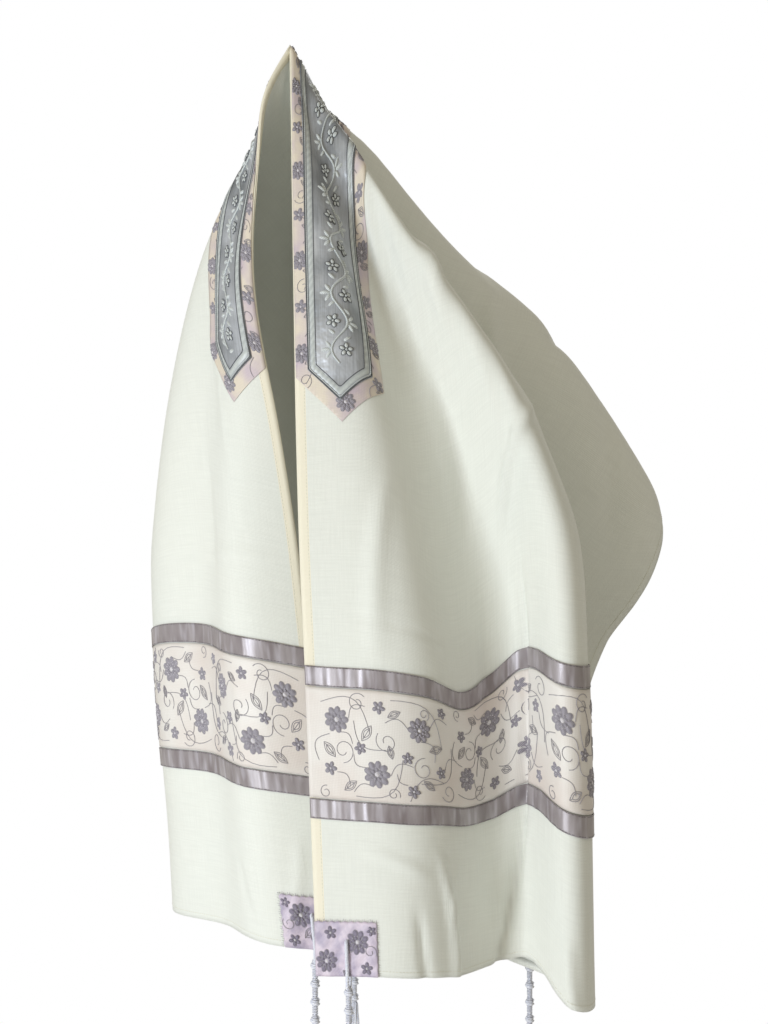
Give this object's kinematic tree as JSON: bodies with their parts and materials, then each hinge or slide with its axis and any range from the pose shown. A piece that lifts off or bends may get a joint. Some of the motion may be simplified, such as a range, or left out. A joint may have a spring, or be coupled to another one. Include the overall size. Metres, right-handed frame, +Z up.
{
  "type": "tallit prayer shawl",
  "caption": "Rectangular fringed prayer shawl hanging in folds from the middle of its neck edge, with banded ends, a neckband and knotted corner tassels.",
  "frame": {"origin": "middle of the shawl's neck edge, at the wearer's nape, where the shawl is held", "axes": "+Z up, +X to the right as seen from the front, +Y towards the back, so the shawl's two ends hang at -Y"},
  "size_m": [0.5399, 0.3684, 1.1534],
  "materials": {
    "ivory_wool": "plain woven light wool, matt with a faint sheen",
    "mauve_ribbon": "mauve-grey satin ribbon",
    "floral_organza": "sheer pale organza embroidered with small flowers and vines",
    "silver_satin": "silver-grey satin with corded borders",
    "lavender_organza": "lavender embroidered organza",
    "white_thread": "twisted white wool thread"
  },
  "bodies": {
    "root": {"shawl_cloth": "ivory_wool", "left_upper_ribbon": "mauve_ribbon", "left_floral_band": "floral_organza", "left_lower_ribbon": "mauve_ribbon", "right_upper_ribbon": "mauve_ribbon", "right_floral_band": "floral_organza", "right_lower_ribbon": "mauve_ribbon", "neckband_backing": "floral_organza", "neckband_satin": "silver_satin", "left_front_patch": "lavender_organza", "right_front_patch": "lavender_organza", "left_far_patch": "lavender_organza", "right_far_patch": "lavender_organza", "left_front_tassel": "white_thread", "right_front_tassel": "white_thread", "left_far_tassel": "white_thread", "right_far_tassel": "white_thread"}
  },
  "joints": []
}
